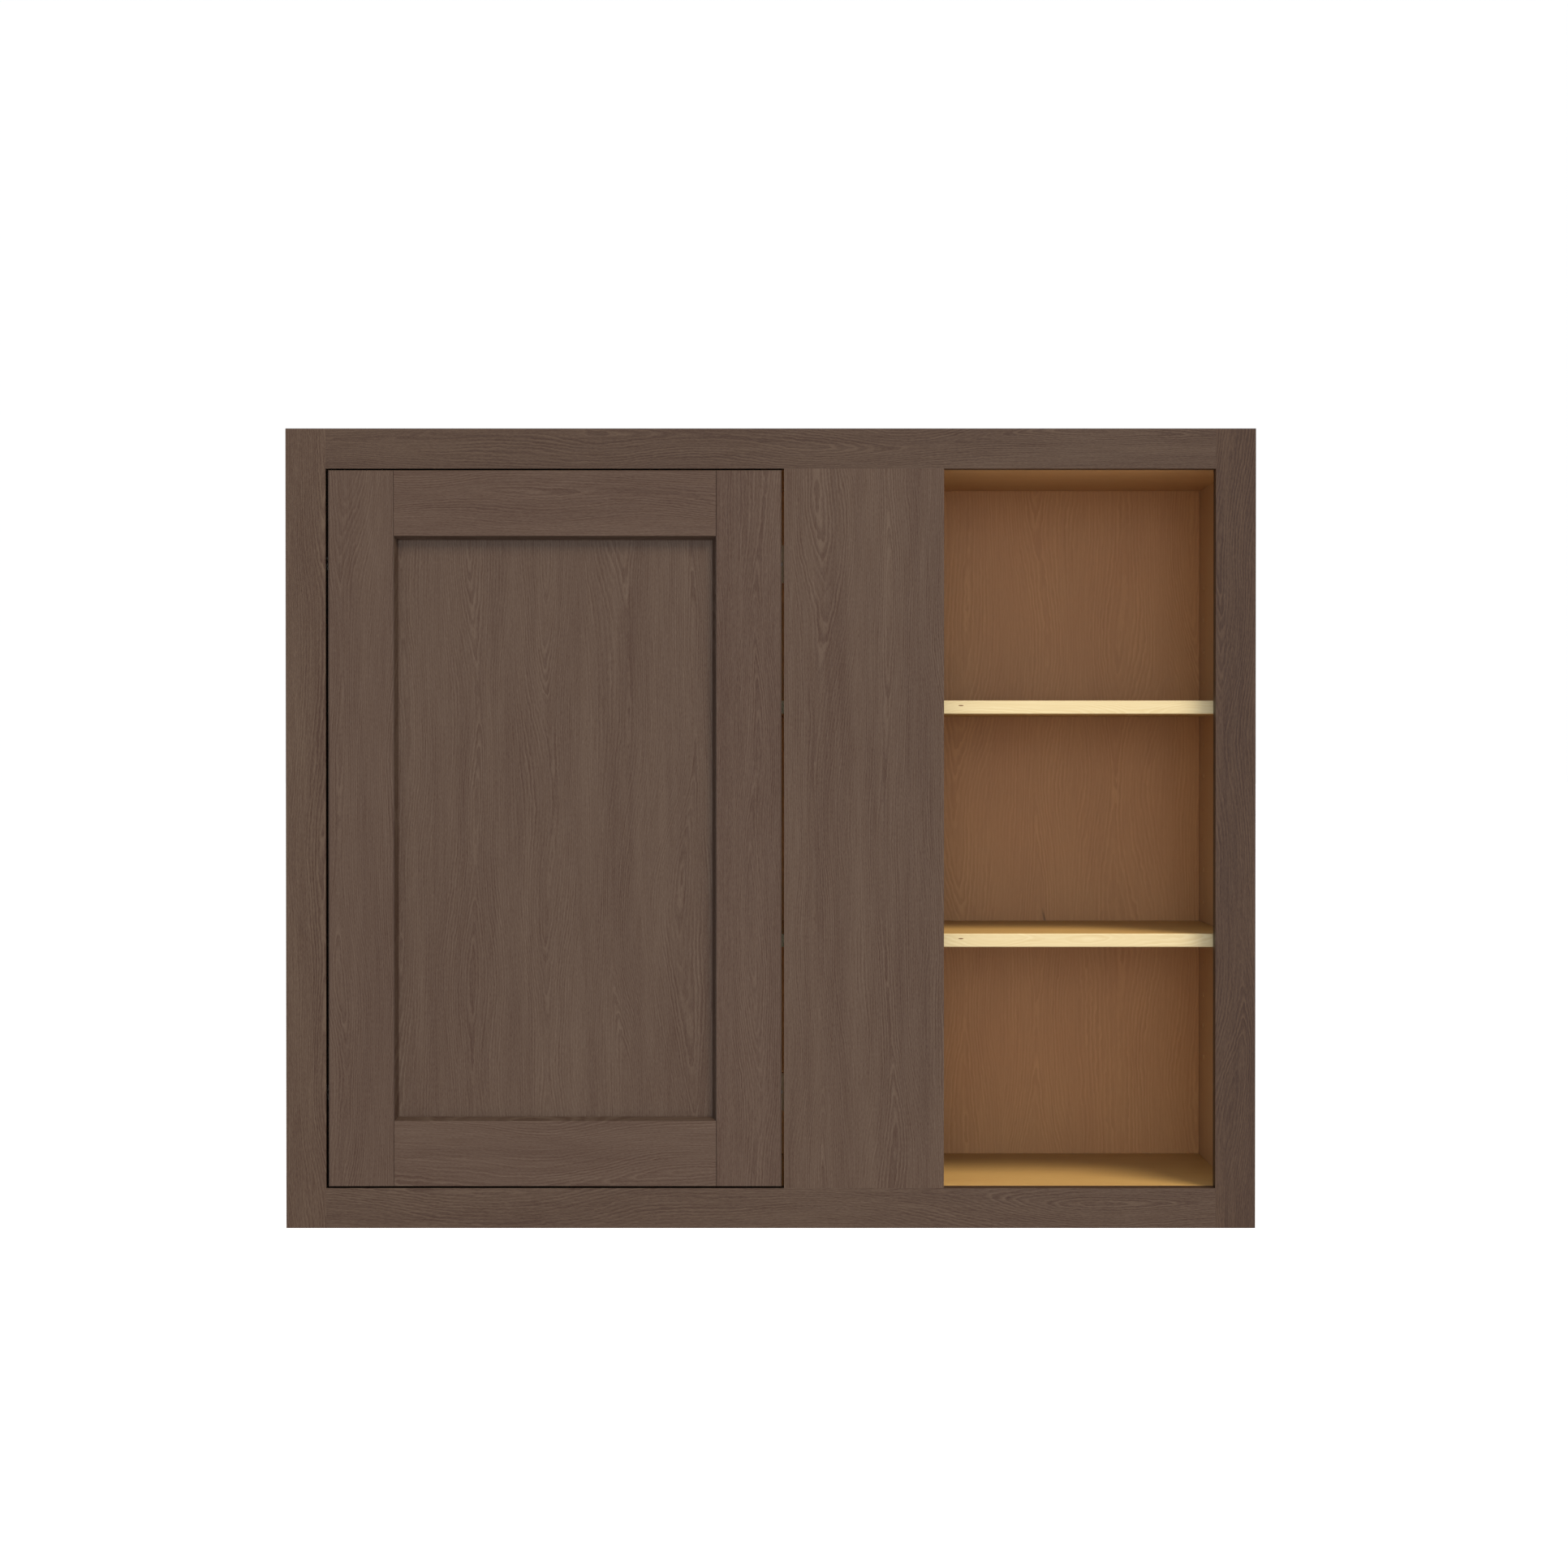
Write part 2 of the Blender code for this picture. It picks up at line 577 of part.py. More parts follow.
def make_hinge(name, z, stile, door_stile):
    cup = hinge_cup(f"{name}_cup", z)
    bore, bore_depth = CUP_RADIUS + GAP, CUP_DEPTH + GAP
    cut(door_stile, across_cutter(f"{name}_cup_bore", CUP_X, DOOR_BACK, z, bore, 2 * bore_depth, FINE_SIDES))

    off_centre = CUP_INSET - HINGE_AXIS_INSET + PIVOT_RADIUS
    pin_length = 2 * (math.sqrt((CUP_RADIUS - CUP_WALL) ** 2 - off_centre**2) - GAP)
    pin_name = f"{name}_pivot_pin"
    pin = finished(pin_name, cylinder_mesh(pin_name, PIVOT_RADIUS, pin_length, ROUND_SIDES), STEEL)
    pin.location = (HINGE_X, HINGE_Y, z)

    plate_front = INSIDE_FRONT + GAP
    plate_back = plate_front + PLATE_THICKNESS
    plate = box(
        f"{name}_base_plate",
        (INSIDE_LEFT + PLATE_MARGIN, OPENING_LEFT - PLATE_MARGIN),
        (plate_front, plate_back),
        (z - PLATE_HEIGHT / 2, z + PLATE_HEIGHT / 2),
        STEEL,
    )
    arm = hinge_arm(f"{name}_arm", z, plate_back)

    plate_x = (INSIDE_LEFT + OPENING_LEFT) / 2
    cup_seat = DOOR_BACK + GAP + CUP_RIM_THICKNESS
    for place, side in (("upper", 1), ("lower", -1)):
        screw, cup_z = f"{name}_cup_screw_{place}", z + side * CUP_SCREW_OFFSET
        driven_screw(screw, CUP_X, cup_seat, cup_z, CUP_SCREW_LENGTH, cup, door_stile)
        screw, plate_z = f"{name}_plate_screw_{place}", z + side * PLATE_SCREW_OFFSET
        driven_screw(screw, plate_x, plate_back, plate_z, PLATE_SCREW_LENGTH, plate, stile)
    arm_x = OPENING_LEFT - ARM_SCREW_INSET
    arm_seat = plate_back + GAP + ARM_THICKNESS
    driven_screw(f"{name}_arm_screw", arm_x, arm_seat, z, ARM_SCREW_LENGTH, arm, plate, stile)


# Door stops ---------------------------------------------------------------------------------------


def make_stop(name, z):
    """A block behind the blind stile whose stepped lip carries a rubber bumper for the closed door."""
    lip = GAP + BUMPER_THICKNESS + GAP
    outline = [
        (STOP_OVERLAP, GAP),
        (STOP_OVERLAP, STOP_DEPTH),
        (-STOP_REACH, STOP_DEPTH),
        (-STOP_REACH, lip),
        (0, lip),
        (0, GAP),
    ]
    block = finished(name, extruded_mesh(name, outline, STOP_HEIGHT), MAPLE)
    block.location = (OPENING_RIGHT, INSIDE_FRONT, z)
    bumper_name = f"{name}_bumper"
    bumper_mesh = cylinder_mesh(bumper_name, BUMPER_RADIUS, BUMPER_THICKNESS, ROUND_SIDES)
    bumper = finished(bumper_name, bumper_mesh, RUBBER)
    bumper.rotation_euler = (math.pi / 2, 0, 0)
    bumper_x = OPENING_RIGHT - STOP_REACH / 2 - GAP
    bumper.location = (bumper_x, INSIDE_FRONT + GAP + BUMPER_THICKNESS / 2, z)


def make_hinges_and_stops(door_stile):
    stile = bpy.data.objects["frame_left_stile"]
    make_hinge("upper_hinge", TOP - HINGE_END_DISTANCE, stile, door_stile)
    make_hinge("lower_hinge", BOTTOM + HINGE_END_DISTANCE, stile, door_stile)
    make_stop("upper_door_stop", CEILING - STOP_END_DISTANCE)
    make_stop("lower_door_stop", FLOOR + STOP_END_DISTANCE)


def hang_door():
    """Everything that turns with the door is parented to an empty on the hinge axis."""
    axis = bpy.data.objects.new("door_axis", None)
    axis.location = (HINGE_X, HINGE_Y, 0)
    parts.objects.link(axis)
    turning = ("door_", "upper_hinge_cup", "lower_hinge_cup", "upper_hinge_pivot", "lower_hinge_pivot")
    bpy.context.view_layer.update()
    for part in parts.objects:
        if part is not axis and part.name.startswith(turning):
            part.parent = axis
            part.matrix_parent_inverse = axis.matrix_world.inverted()


make_case()
make_face_frame()
make_shelf("lower_shelf", LOWER_SHELF_HEIGHT)
make_shelf("upper_shelf", LOWER_SHELF_HEIGHT + SHELF_SPACING)
make_hinges_and_stops(make_door())
hang_door()
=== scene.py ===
"""Looks of the wall cabinet: stained frame and door, clear maple plywood inside, nickel hardware.

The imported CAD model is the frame. Lengths in the wood's figure are millimetres, everything else is metres.
"""

import math

import bpy
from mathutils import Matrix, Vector


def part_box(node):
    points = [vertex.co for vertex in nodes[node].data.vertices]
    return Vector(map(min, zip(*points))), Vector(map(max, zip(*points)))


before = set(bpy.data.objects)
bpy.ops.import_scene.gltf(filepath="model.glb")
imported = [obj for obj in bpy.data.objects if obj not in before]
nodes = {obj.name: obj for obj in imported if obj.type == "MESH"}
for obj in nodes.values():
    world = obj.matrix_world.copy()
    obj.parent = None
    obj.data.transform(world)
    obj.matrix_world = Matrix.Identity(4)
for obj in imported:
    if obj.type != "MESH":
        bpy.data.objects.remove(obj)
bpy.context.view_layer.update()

# Camera, in the cabinet's own frame
CAMERA_PLACE = (0.01265, -3.6511, 0.0737)
CAMERA_PITCH = -0.0093
CAMERA_LENS = 80.65
SENSOR = 36.0
CLIP_NEAR, CLIP_FAR = 0.05, 200.0

# Light and floor
SKY = (0.985, 0.99, 1.0)
SKY_STRENGTH = 1.02
BELOW = (0.66, 0.52, 0.42)  # what lights the cabinet from below, in place of the bright floor
BELOW_RISE = (-0.14, -0.07)  # heights of the view direction between which it gives way to the sky
KEY_DIRECTION = (0.72, -1.0, 1.5)  # from the cabinet to the lamp
KEY_DISTANCE = 9.0
KEY_SIZE = 3.6
KEY_POWER = 860.0
KEY_COLOUR = (1.0, 0.87, 0.68)
FILL_PLACE = (0.2, -7.0, 0.6)
FILL_SIZE = 2.0
FILL_POWER = 36.0
FILL_COLOUR = (1.0, 1.0, 1.0)
FLOOR_HEIGHT = -1.75
FLOOR_SIZE = 400.0
FLOOR_COLOUR = (0.85, 0.85, 0.85, 1)
FLOOR_ROUGHNESS = 0.9
FLOOR_GLOW = 0.25

# Colours of the finishes
STAIN_DARK = (0.0320, 0.0130, 0.0062)
STAIN_LIGHT = (0.0830, 0.0570, 0.0410)
SLOPE_PAINTED_SHADE = 0.62  # painted shade: share of the colour kept on mouldings, inner edges and other edge faces
MAPLE_DARK = (0.44, 0.255, 0.115)
MAPLE_LIGHT = (0.60, 0.385, 0.190)
MAPLE_WARM = (0.56, 0.29, 0.135)
WALL_TINT = (0.95, 0.98, 1.0)
# Painted light: the back's darker, redder tint stands in for the shade and warm light inside the case, and
# the decks' yellower tint stands in for the key light on them
BACK_PAINTED_SHADE_TINT = (0.95, 0.81, 0.67)
DECK_PAINTED_LIGHT_TINT = (0.85, 0.89, 0.66)
END_STAIN_AND_SHADE_TINTS = {  # tints of the stain on the outer sides, the right one darker partly as painted shade
    "left_side_panel": (0.97, 0.93, 0.88),
    # The right side's darker tint is partly painted shade, against the key light from the right
    "right_side_panel": (0.78, 0.68, 0.60),
}
MINERAL = (0.10, 0.045, 0.020)
CROSS_PLY = (0.30, 0.165, 0.075)
BAND_DARK = (0.54, 0.44, 0.24)
BAND_LIGHT = (0.66, 0.59, 0.38)
KNOT = (0.17, 0.085, 0.035)
STEEL = (0.66, 0.65, 0.63)
STEEL_DULL = tuple(0.86 * part for part in STEEL)
RUBBER = (0.45, 0.44, 0.42)
RUBBER_DULL = tuple(0.8 * part for part in RUBBER)

# Roughness, and depth of the relief in metres
STAIN_ROUGHNESS, STAIN_RELIEF = 0.50, 0.00012
MAPLE_ROUGHNESS, MAPLE_RELIEF = 0.42, 0.00006
BAND_ROUGHNESS, BAND_RELIEF = 0.45, 0.00005
STEEL_ROUGHNESS, STEEL_RELIEF = 0.30, 0.00002
RUBBER_ROUGHNESS, RUBBER_RELIEF = 0.6, 0.00003
WOOD_SPECULAR = 0.3
STEEL_SPECULAR = 0.5

# Features of the wood, in millimetres
MILLIMETRES = 1000.0  # in a metre
PLY_PAIR = 3.6  # thickness of two plies
STAINED_FROM = 461.4  # distance from the middle beyond which the case's outer sides are stained
STAIN_BORDER = 0.1  # half the width of that boundary
HEART_ROUNDING = 3.0  # radius of the arches' tips
KNOT_PLACE = 182.6  # from the cabinet's middle
KNOT_DROP = 4.7  # from the band's top
KNOT_LENGTH, KNOT_HEIGHT = 5.4, 1.3

# Numbers that make the figures of the boards differ
SEED_STEP = 1.7  # between the seeds of two boards
FIRST_BOARD, FIRST_PANEL = 1, 21  # numbers that the boards and the panels are counted from
BAND_SEED = 69.7
SEED_SHIFT = 37.0  # sideways shift of the columns, in millimetres, for a seed of 1
COLUMN_STEP = 7.31  # in the noise that moves the hearts, from one column to the next

# Which of X, Y and Z runs across the grain, into the board and along the grain
UPRIGHT = (0, 1, 2)
LEVEL = (2, 1, 0)
END_PANEL = (1, 0, 2)
DECK = (1, 2, 0)


# Shader formulas ------------------------------------------------------------------------------------


class Field:
    """A number that varies over a surface: the output of a shader node, with arithmetic."""

    def __init__(self, shader, socket):
        self.shader = shader
        self.socket = socket

    def __add__(self, other):
        return self.shader.math("ADD", self, other)

    def __sub__(self, other):
        return self.shader.math("SUBTRACT", self, other)

    def __rsub__(self, other):
        return self.shader.math("SUBTRACT", other, self)

    def __mul__(self, other):
        return self.shader.math("MULTIPLY", self, other)

    def __truediv__(self, other):
        return self.shader.math("DIVIDE", self, other)

    __radd__ = __add__
    __rmul__ = __mul__

    def floor(self):
        return self.shader.math("FLOOR", self)

    def size(self):
        return self.shader.math("ABSOLUTE", self)

    def root(self):
        return self.shader.math("SQRT", self)

    def over(self, low, high):
        """0 below low, 1 above high, and smooth between them. It falls where low is the larger."""
        rise = self.shader.node("ShaderNodeMapRange", interpolation_type="SMOOTHSTEP")
        self.shader.wire(self, rise.inputs["Value"])
        rise.inputs["From Min"].default_value = low
        rise.inputs["From Max"].default_value = high
        return Field(self.shader, rise.outputs["Result"])


class Shader:
    """A material whose nodes are made by formulas."""

    def __init__(self, name):
        self.material = bpy.data.materials.new(name)
        self.material.use_nodes = True
        self.tree = self.material.node_tree
        self.principled = self.tree.nodes["Principled BSDF"]

    def node(self, kind, **settings):
        made = self.tree.nodes.new(kind)
        for key, value in settings.items():
            setattr(made, key, value)
        return made

    def wire(self, value, socket):
        if isinstance(value, Field):
            self.tree.links.new(value.socket, socket)
        else:
            socket.default_value = value

    def math(self, operation, *values):
        made = self.node("ShaderNodeMath", operation=operation)
        for value, socket in zip(values, made.inputs):
            self.wire(value, socket)
        return Field(self, made.outputs[0])

    def place(self):
        """X, Y and Z of the surface in the cabinet's frame, in millimetres."""
        source = self.node("ShaderNodeTexCoord")
        parts = self.node("ShaderNodeSeparateXYZ")
        self.tree.links.new(source.outputs["Object"], parts.inputs[0])
        return [Field(self, parts.outputs[i]) * MILLIMETRES for i in range(3)]

    def facing(self):
        """X, Y and Z of the direction that the surface faces."""
        source = self.node("ShaderNodeTexCoord")
        parts = self.node("ShaderNodeSeparateXYZ")
        self.tree.links.new(source.outputs["Normal"], parts.inputs[0])
        return [Field(self, parts.outputs[i]) for i in range(3)]

    def point(self, x, y, z):
        joined = self.node("ShaderNodeCombineXYZ")
        for value, socket in zip((x, y, z), joined.inputs):
            self.wire(value, socket)
        return Field(self, joined.outputs[0])

    def noise(self, x, y, z, detail=1.0):
        """Smooth noise between -1 and 1, with features about 1 long in each of the three numbers."""
        made = self.node("ShaderNodeTexNoise")
        made.inputs["Scale"].default_value = 1.0
        made.inputs["Detail"].default_value = detail
        self.wire(self.point(x, y, z), made.inputs["Vector"])
        return Field(self, made.outputs["Fac"]) * 2.0 - 1.0

    def specks(self, x, y, z):
        """Distance to the nearest scattered point, and a random number that belongs to that point."""
        made = self.node("ShaderNodeTexVoronoi")
        made.inputs["Scale"].default_value = 1.0
        self.wire(self.point(x, y, z), made.inputs["Vector"])
        colour = self.node("ShaderNodeSeparateColor")
        self.tree.links.new(made.outputs["Color"], colour.inputs[0])
        return Field(self, made.outputs["Distance"]), Field(self, colour.outputs[0])

    def blend(self, factor, first, second):
        """Two colours mixed: the first where the factor is 0, the second where it is 1."""
        made = self.node("ShaderNodeMix", data_type="RGBA")
        self.wire(factor, made.inputs["Factor"])
        for colour, name in ((first, "A"), (second, "B")):
            socket = next(s for s in made.inputs if s.name == name and s.type == "RGBA")
            self.wire(colour if isinstance(colour, Field) else (*colour, 1), socket)
        return Field(self, next(s for s in made.outputs if s.type == "RGBA"))

    def shade(self, colour, share):
        """A colour times a number."""
        made = self.node("ShaderNodeVectorMath", operation="SCALE")
        self.wire(colour, made.inputs[0])
        self.wire(share, made.inputs["Scale"])
        return Field(self, made.outputs[0])

    def finish(self, colour, roughness, height, depth, specular=WOOD_SPECULAR, metallic=0.0):
        """Connects the colour, the roughness and a relief of that depth. Gives the finished material."""
        inputs = self.principled.inputs
        self.wire(colour, inputs["Base Color"])
        self.wire(roughness, inputs["Roughness"])
        inputs["Specular IOR Level"].default_value = specular
        inputs["Metallic"].default_value = metallic
        bump = self.node("ShaderNodeBump")
        bump.inputs["Distance"].default_value = depth
        self.wire(height, bump.inputs["Height"])
        self.tree.links.new(bump.outputs["Normal"], inputs["Normal"])
        return self.material


# Wood -----------------------------------------------------------------------------------------------


# A noise's divisors are the lengths of its features across the grain, into the board and along the grain.


def grain_axes(shader, grain):
    """The place on the surface, measured across the grain, into the board and along the grain."""
    place = shader.place()
    return [place[axis] for axis in grain]


def growth_lines(shader, axes, seed, column, ring, sweep):
    """Cathedral figure: columns of long nested arches, with straight lines between the columns.

    A column's arches point up or down as its heart comes nearer or goes deeper along the board, by the sweep.
    """
    across, depth, along = axes
    sway = 0.45 * column * shader.noise(across / (1.6 * column), depth / 90.0, along / 300.0 + seed)
    ripple = 0.8 * shader.noise(across / 16.0, depth / 13.0 + seed, along / 75.0)  # in rings
    flutter = 0.42 * shader.noise(across / 4.0, depth / 4.5 + seed, along / 12.0)  # in rings
    shifted = across + sway + SEED_SHIFT * seed
    number = (shifted / column).floor()  # which column this is
    from_heart = (shifted - (number + 0.5) * column).size()
    drift = shader.noise(number * COLUMN_STEP + seed, 0.5, along / (5.5 * column))
    heart = 2.0 * sweep * drift + 0.2 * depth
    radius = ((from_heart * from_heart + HEART_ROUNDING ** 2).root() + heart) / ring + ripple + flutter
    phase = radius - radius.floor()
    line = phase.over(0.0, 0.2) - phase.over(0.2, 0.8)  # each ring starts sharply and fades away
    strength = shader.noise(radius * 0.6, number * 3.1, along / 140.0).over(-0.3, 0.3)
    emphasis = strength * 0.8 + 0.2  # some rings are fainter than others
    inside_column = from_heart.over(0.5 * column, 0.3 * column) * 0.6 + 0.4
    return (line - 0.4) * emphasis * inside_column  # 0.4 is the line's average


def tinted(colour, tint):
    return tuple(part * share for part, share in zip(colour, tint))


def outer_side(shader):
    """1 on the outer sides of the case and 0 elsewhere."""
    from_middle = shader.place()[0].size()
    return from_middle.over(STAINED_FROM - STAIN_BORDER, STAINED_FROM + STAIN_BORDER)


def stain(shader, grain, seed, tint, contrast):
    """Stained hardwood with open grain, mauve-brown with paler olive lines.

    Gives a colour, a height and the fibres, which vary the gloss.
    """
    across, depth, along = axes = grain_axes(shader, grain)
    lines = growth_lines(shader, axes, seed, column=66.0, ring=2.3, sweep=19.0)
    broad = shader.noise(across / 38.0 + seed, depth / 60.0, along / 420.0)
    streaks = shader.noise(across / 8.0 + seed, depth / 20.0, along / 160.0)
    fibres = shader.noise(across / 1.0, depth / 3.0, along / 26.0 + seed)
    pores = shader.noise(across / 0.5, depth / 0.8 + seed, along / 3.5)
    figure = 0.24 * broad + 0.22 * streaks + 0.46 * lines + 0.20 * fibres + 0.44 * pores
    colour = shader.blend(0.5 + contrast * figure, tinted(STAIN_DARK, tint), tinted(STAIN_LIGHT, tint))
    return colour, pores * 0.5 + fibres * 0.4 + lines * 0.3, fibres


def stained_wood(name, grain, seed, tint, contrast):
    """A stained board, whose mouldings and inner edges come out darker than its face, as painted shade."""
    shader = Shader(name)
    colour, height, fibres = stain(shader, grain, seed, tint, contrast)
    frontal = shader.facing()[1].size().over(0.90, 0.98)  # flat faces, front and back
    full = frontal + outer_side(shader) * (1.0 - frontal)
    # Painted shade: faces that don't face front or back, apart from the case's outer sides, are darkened
    colour = shader.shade(colour, full * (1.0 - SLOPE_PAINTED_SHADE) + SLOPE_PAINTED_SHADE)
    return shader.finish(colour, STAIN_ROUGHNESS - 0.10 * fibres, height, STAIN_RELIEF)


def maple_figure(shader, grain, seed, tint):
    """Clear-finished maple: wide soft figure with a few mineral streaks. Gives a colour and a height."""
    across, depth, along = axes = grain_axes(shader, grain)
    lines = growth_lines(shader, axes, seed, column=84.0, ring=3.6, sweep=34.0)
    clouds = shader.noise(across / 45.0 + seed, depth / 60.0, along / 150.0, detail=2.0)
    fibres = shader.noise(across / 1.8, depth / 5.0, along / 45.0 + seed, detail=2.0)
    pores = shader.noise(across / 0.8, depth / 2.0 + seed, along / 6.0)
    level = 0.56 + 0.36 * clouds + 0.62 * lines + 0.34 * fibres + 0.24 * pores
    colour = shader.blend(level, tinted(MAPLE_DARK, tint), tinted(MAPLE_LIGHT, tint))
    warmth = shader.noise(across / 70.0, depth / 60.0 + seed, along / 90.0) * 0.5 + 0.5
    colour = shader.blend(warmth * 0.35, colour, tinted(MAPLE_WARM, tint))
    lean = across + 0.22 * along
    near, number = shader.specks(lean / 24.0 + seed, depth / 40.0, along / 150.0)
    mineral = near.over(0.085, 0.02) * number.over(0.86, 0.87) * 0.55  # a streak at one point in seven
    colour = shader.blend(mineral, colour, MINERAL)
    return colour, fibres * 0.5 + lines * 0.3


def maple_plywood(name, grain, seed, tint, end_stain_and_shade=None):
    """Veneered plywood that shows its plies on its edges. An end panel is stained on its outer side."""
    shader = Shader(name)
    colour, height = maple_figure(shader, grain, seed, tint)
    thickness_axis = grain[1]
    plies = shader.place()[thickness_axis] / PLY_PAIR
    cross_ply = (plies - plies.floor()).over(0.46, 0.54)  # every second ply
    edge = shader.facing()[thickness_axis].size().over(0.6, 0.4)
    colour = shader.blend(cross_ply * edge * 0.8, colour, CROSS_PLY)
    # The outer side's tint holds the stain, darkened on the right side as painted shade
    if end_stain_and_shade:
        stained = stain(shader, grain, seed, end_stain_and_shade, contrast=1.0)[0]
        colour = shader.blend(outer_side(shader), colour, stained)
    return shader.finish(colour, MAPLE_ROUGHNESS, height, MAPLE_RELIEF)


def maple_band(name, top):
    """Solid edge band with a small knot below its top, whose height is in millimetres."""
    shader = Shader(name)
    across, depth, along = axes = grain_axes(shader, LEVEL)
    lines = growth_lines(shader, axes, BAND_SEED, column=30.0, ring=2.6, sweep=26.0)
    fibres = shader.noise(across / 2.0, depth / 5.0, along / 50.0 + BAND_SEED, detail=2.0)
    colour = shader.blend(0.55 + 0.45 * lines + 0.30 * fibres, BAND_DARK, BAND_LIGHT)
    knot_x = (along - KNOT_PLACE) / KNOT_LENGTH
    knot_z = (across - (top - KNOT_DROP)) / KNOT_HEIGHT
    knot = (knot_x * knot_x + knot_z * knot_z).root().over(0.55, 0.35)
    return shader.finish(shader.blend(knot, colour, KNOT), BAND_ROUGHNESS, fibres, BAND_RELIEF)


# Hardware -------------------------------------------------------------------------------------------


def nickel_steel(name):
    shader = Shader(name)
    x, y, z = shader.place()
    wear = shader.noise(x / 9.0, y / 9.0, z / 9.0, detail=3.0)
    brushing = shader.noise(x / 1.5, y / 1.5, z / 0.12, detail=2.0)
    colour = shader.blend(0.5 + 0.4 * wear, STEEL_DULL, STEEL)
    roughness = STEEL_ROUGHNESS + 0.06 * brushing
    return shader.finish(colour, roughness, brushing, STEEL_RELIEF, STEEL_SPECULAR, metallic=1.0)


def bumper_rubber(name):
    shader = Shader(name)
    x, y, z = shader.place()
    grain = shader.noise(x / 0.4, y / 0.4, z / 0.4, detail=2.0)
    colour = shader.blend(0.5 + 0.3 * grain, RUBBER_DULL, RUBBER)
    return shader.finish(colour, RUBBER_ROUGHNESS, grain, RUBBER_RELIEF)


# Dressing the frame ---------------------------------------------------------------------------------


def dress(node_name, material):
    node = nodes[node_name]
    node.data.materials.clear()
    node.data.materials.append(material)


def dress_wood():
    boards = (  # board, direction of its grain, tint of its stain, contrast of its figure
        ("frame_left_stile", UPRIGHT, (0.985, 0.945, 0.885), 1.25),
        # The right stile's darker tint is partly painted shade, against the key light that falls on it from
        # the right
        ("frame_right_stile", UPRIGHT, (0.69, 0.57, 0.47), 1.5),
        ("frame_blind_stile", UPRIGHT, (1.06, 1.04, 1.03), 1.1),
        ("frame_top_rail", LEVEL, (0.81, 0.74, 0.68), 1.35),
        ("frame_bottom_rail", LEVEL, (0.91, 0.86, 0.81), 1.25),
        ("door_panel", UPRIGHT, (1.055, 1.045, 1.045), 1.0),
        ("door_left_stile", UPRIGHT, (1.01, 0.98, 0.98), 1.05),
        ("door_right_stile", UPRIGHT, (1.02, 0.98, 0.99), 1.05),
        ("door_top_rail", LEVEL, (0.99, 0.935, 0.93), 1.0),
        ("door_bottom_rail", LEVEL, (1.055, 1.03, 1.04), 1.0),
    )
    for number, (name, grain, tint, contrast) in enumerate(boards, FIRST_BOARD):
        dress(name, stained_wood(f"stain_{name}", grain, SEED_STEP * number, tint, contrast))
    panels = (  # panel, direction of its grain, tint
        ("left_side_panel", END_PANEL, WALL_TINT),
        ("right_side_panel", END_PANEL, WALL_TINT),
        # The back and the decks take tints of painted shade and painted light
        ("back_panel", UPRIGHT, BACK_PAINTED_SHADE_TINT),
        ("top_panel", DECK, WALL_TINT),
        ("bottom_panel", DECK, DECK_PAINTED_LIGHT_TINT),
        ("upper_shelf", DECK, DECK_PAINTED_LIGHT_TINT),
        ("lower_shelf", DECK, DECK_PAINTED_LIGHT_TINT),
        ("top_hanging_rail", LEVEL, WALL_TINT),
        ("bottom_hanging_rail", LEVEL, WALL_TINT),
        ("upper_door_stop", UPRIGHT, WALL_TINT),
        ("lower_door_stop", UPRIGHT, WALL_TINT),
    )
    for number, (name, grain, tint) in enumerate(panels, FIRST_PANEL):
        end_stain_and_shade = END_STAIN_AND_SHADE_TINTS.get(name)
        dress(name, maple_plywood(f"maple_{name}", grain, SEED_STEP * number, tint, end_stain_and_shade))
    for name in ("upper_shelf_edge_band", "lower_shelf_edge_band"):
        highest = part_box(name)[1]
        dress(name, maple_band(f"maple_{name}", MILLIMETRES * highest[2]))


def dress_hardware():
    steel, rubber = nickel_steel("nickel_steel"), bumper_rubber("bumper_rubber")
    for name in nodes:
        if name.endswith("bumper"):
            dress(name, rubber)
        elif "hinge" in name or "_pin_" in name:
            dress(name, steel)


# Stage ----------------------------------------------------------------------------------------------


def make_camera():
    data = bpy.data.cameras.new("camera")
    data.lens, data.sensor_width = CAMERA_LENS, SENSOR
    data.clip_start, data.clip_end = CLIP_NEAR, CLIP_FAR
    camera = bpy.data.objects.new("camera", data)
    camera.location = CAMERA_PLACE
    camera.rotation_euler = (math.pi / 2 + CAMERA_PITCH, 0, 0)
    bpy.context.scene.collection.objects.link(camera)
    bpy.context.scene.camera = camera


def make_lights():
    key_place = Vector(KEY_DIRECTION).normalized() * KEY_DISTANCE
    area_light("key", key_place, KEY_SIZE, KEY_POWER, KEY_COLOUR)
    area_light("fill", Vector(FILL_PLACE), FILL_SIZE, FILL_POWER, FILL_COLOUR)


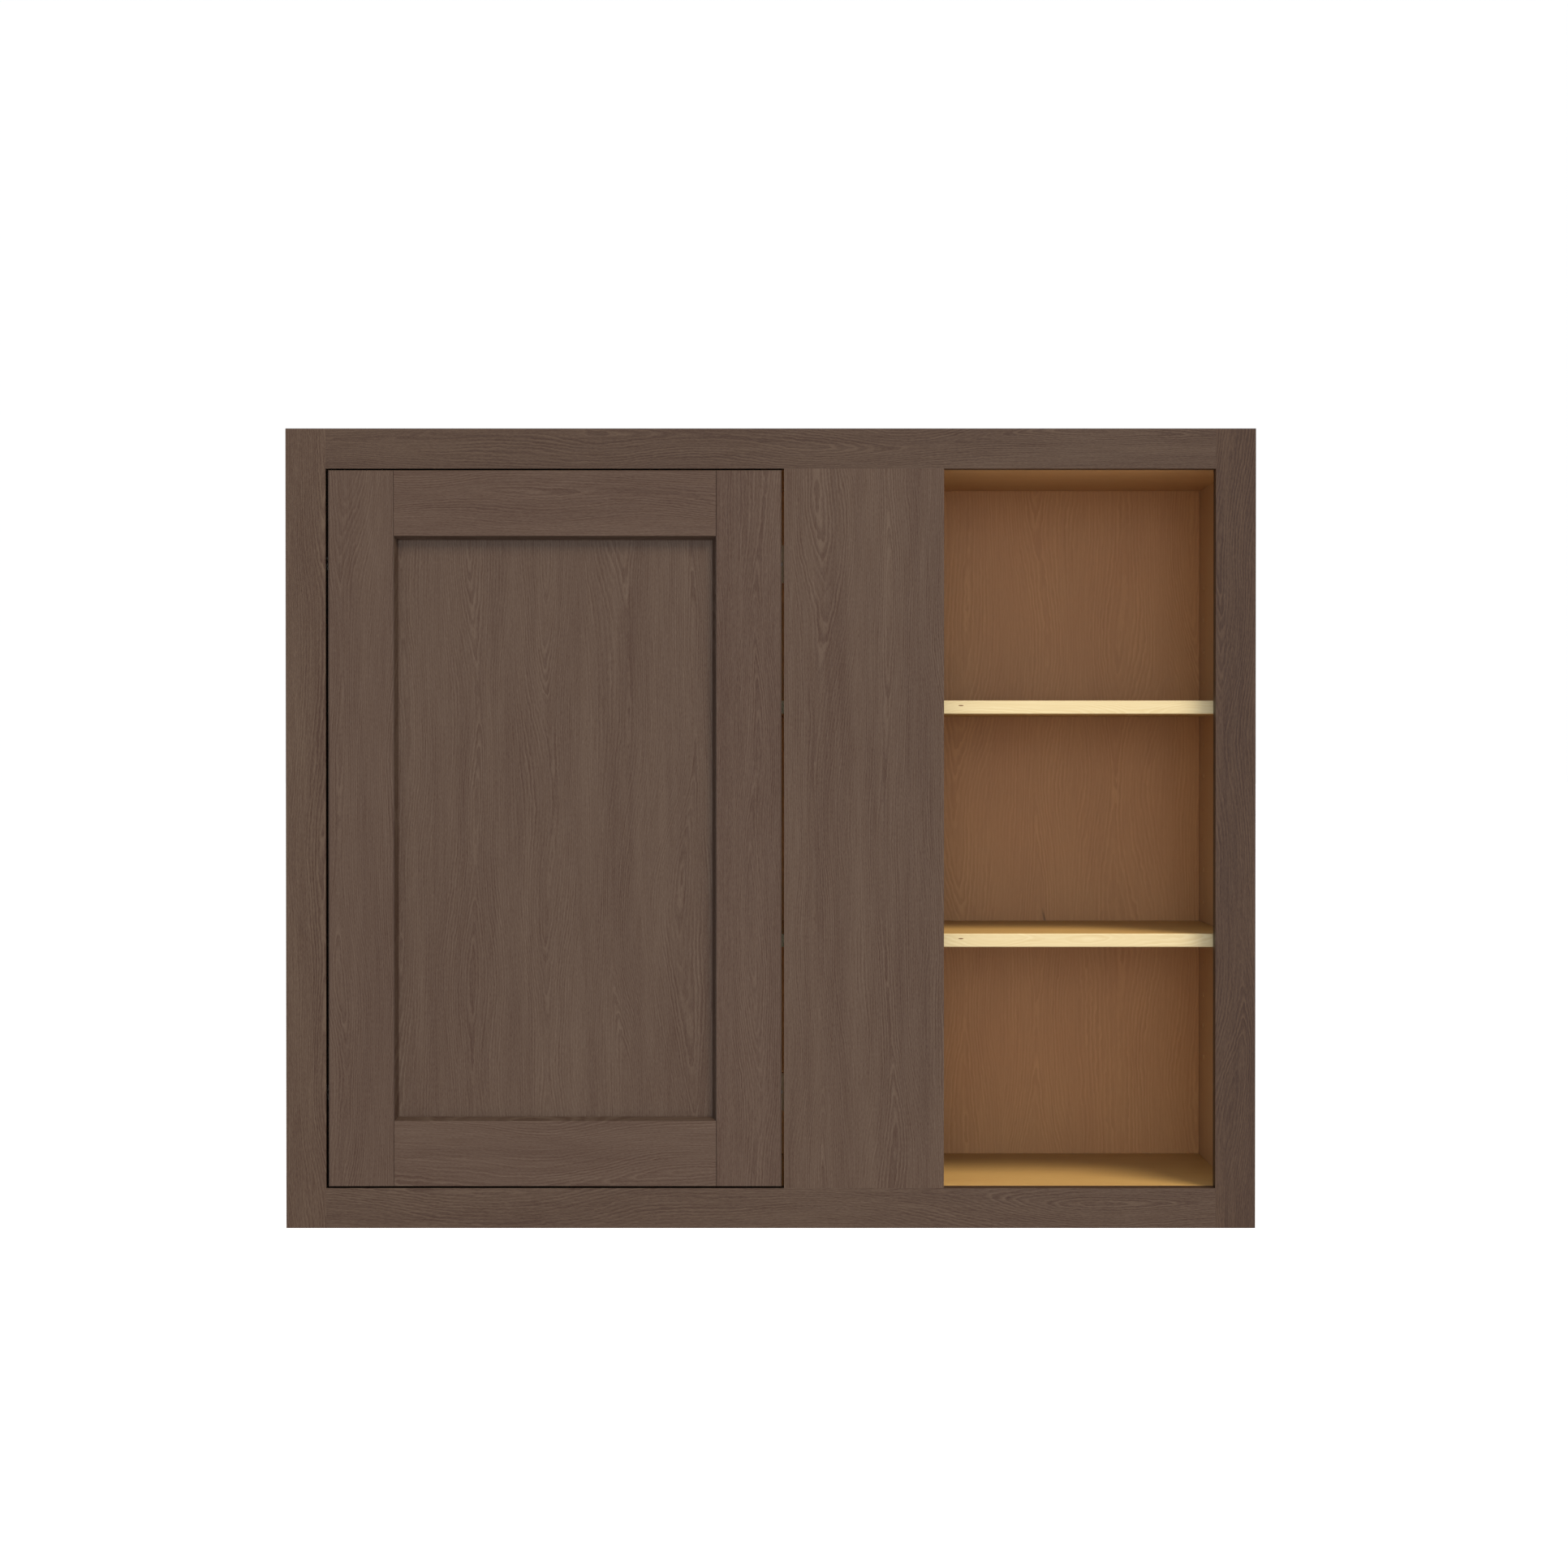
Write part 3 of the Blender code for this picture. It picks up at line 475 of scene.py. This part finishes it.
def area_light(name, place, size, power, colour):
    """A round soft lamp that points at the middle of the cabinet's back."""
    data = bpy.data.lights.new(name, "AREA")
    data.shape, data.size = "DISK", size
    data.energy, data.color = power, colour
    lamp = bpy.data.objects.new(name, data)
    lamp.location = place
    lamp.rotation_euler = place.to_track_quat("Z", "Y").to_euler()
    bpy.context.scene.collection.objects.link(lamp)


def make_sky():
    """A white studio: bright at the sides and above, dimmer and warmer below."""
    world = bpy.data.worlds.new("studio")
    world.use_nodes = True
    tree = world.node_tree
    background = tree.nodes["Background"]
    background.inputs["Strength"].default_value = SKY_STRENGTH
    direction = tree.nodes.new("ShaderNodeTexCoord")
    parts = tree.nodes.new("ShaderNodeSeparateXYZ")
    rise = tree.nodes.new("ShaderNodeMapRange")
    rise.inputs["From Min"].default_value, rise.inputs["From Max"].default_value = BELOW_RISE
    mix = tree.nodes.new("ShaderNodeMix")
    mix.data_type = "RGBA"
    first, second = [s for s in mix.inputs if s.type == "RGBA"]
    first.default_value, second.default_value = (*BELOW, 1), (*SKY, 1)
    tree.links.new(direction.outputs["Generated"], parts.inputs[0])
    tree.links.new(parts.outputs["Z"], rise.inputs["Value"])
    tree.links.new(rise.outputs["Result"], mix.inputs["Factor"])
    tree.links.new(next(s for s in mix.outputs if s.type == "RGBA"), background.inputs["Color"])
    bpy.context.scene.world = world


def make_floor():
    """A pale floor below the cabinet, which hangs. It lights nothing, since the sky's lower part does."""
    bpy.ops.mesh.primitive_plane_add(size=FLOOR_SIZE, location=(0, 0, FLOOR_HEIGHT))
    floor = bpy.context.object
    floor.name = "floor"
    material = bpy.data.materials.new("floor")
    material.use_nodes = True
    shader = material.node_tree.nodes["Principled BSDF"]
    shader.inputs["Base Color"].default_value = FLOOR_COLOUR
    shader.inputs["Roughness"].default_value = FLOOR_ROUGHNESS
    shader.inputs["Emission Color"].default_value = (1, 1, 1, 1)
    shader.inputs["Emission Strength"].default_value = FLOOR_GLOW
    floor.data.materials.append(material)
    floor.visible_diffuse = False


make_camera()
bpy.context.scene.view_settings.view_transform = "Standard"
make_sky()
make_lights()
make_floor()
dress_wood()
dress_hardware()
